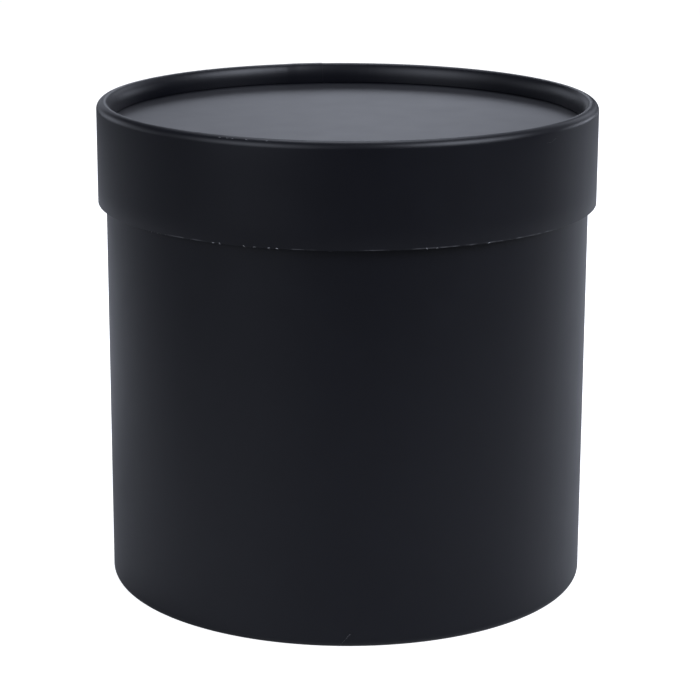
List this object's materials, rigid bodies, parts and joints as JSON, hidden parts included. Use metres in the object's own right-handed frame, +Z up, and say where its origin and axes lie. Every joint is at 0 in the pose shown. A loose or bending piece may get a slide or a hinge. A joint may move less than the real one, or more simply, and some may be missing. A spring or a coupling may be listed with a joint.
{
  "type": "round gift box",
  "caption": "Round black paper gift box: a curled board tube with a sunk base, and a telescoping lid with a rolled rim that lifts off.",
  "frame": {"origin": "centre of the foot ring, on the plane that the box stands on", "axes": "+Z up along the tube's axis, +Y towards the body wrap's seam at the back"},
  "size_m": [0.155, 0.155, 0.1519],
  "materials": {
    "greyboard": "raw cut board",
    "black_wrap": "satin black coated paper",
    "black_lining": "matte black uncoated paper"
  },
  "bodies": {
    "box_body": {"body_tube": "greyboard", "body_wrap": "black_wrap", "body_lining": "black_lining", "base_end": "greyboard", "base_end_facing": "black_wrap", "floor_paper": "black_lining"},
    "lid": {"lid_tube": "greyboard", "lid_wrap": "black_wrap", "lid_lining": "black_lining", "lid_end": "greyboard", "lid_end_facing": "black_wrap", "ceiling_paper": "black_lining"}
  },
  "joints": [
    {"name": "lid_lift", "type": "slide", "parent": "box_body", "child": "lid", "axis": [0, 0, 1], "range_m": [0, 0.1]}
  ]
}
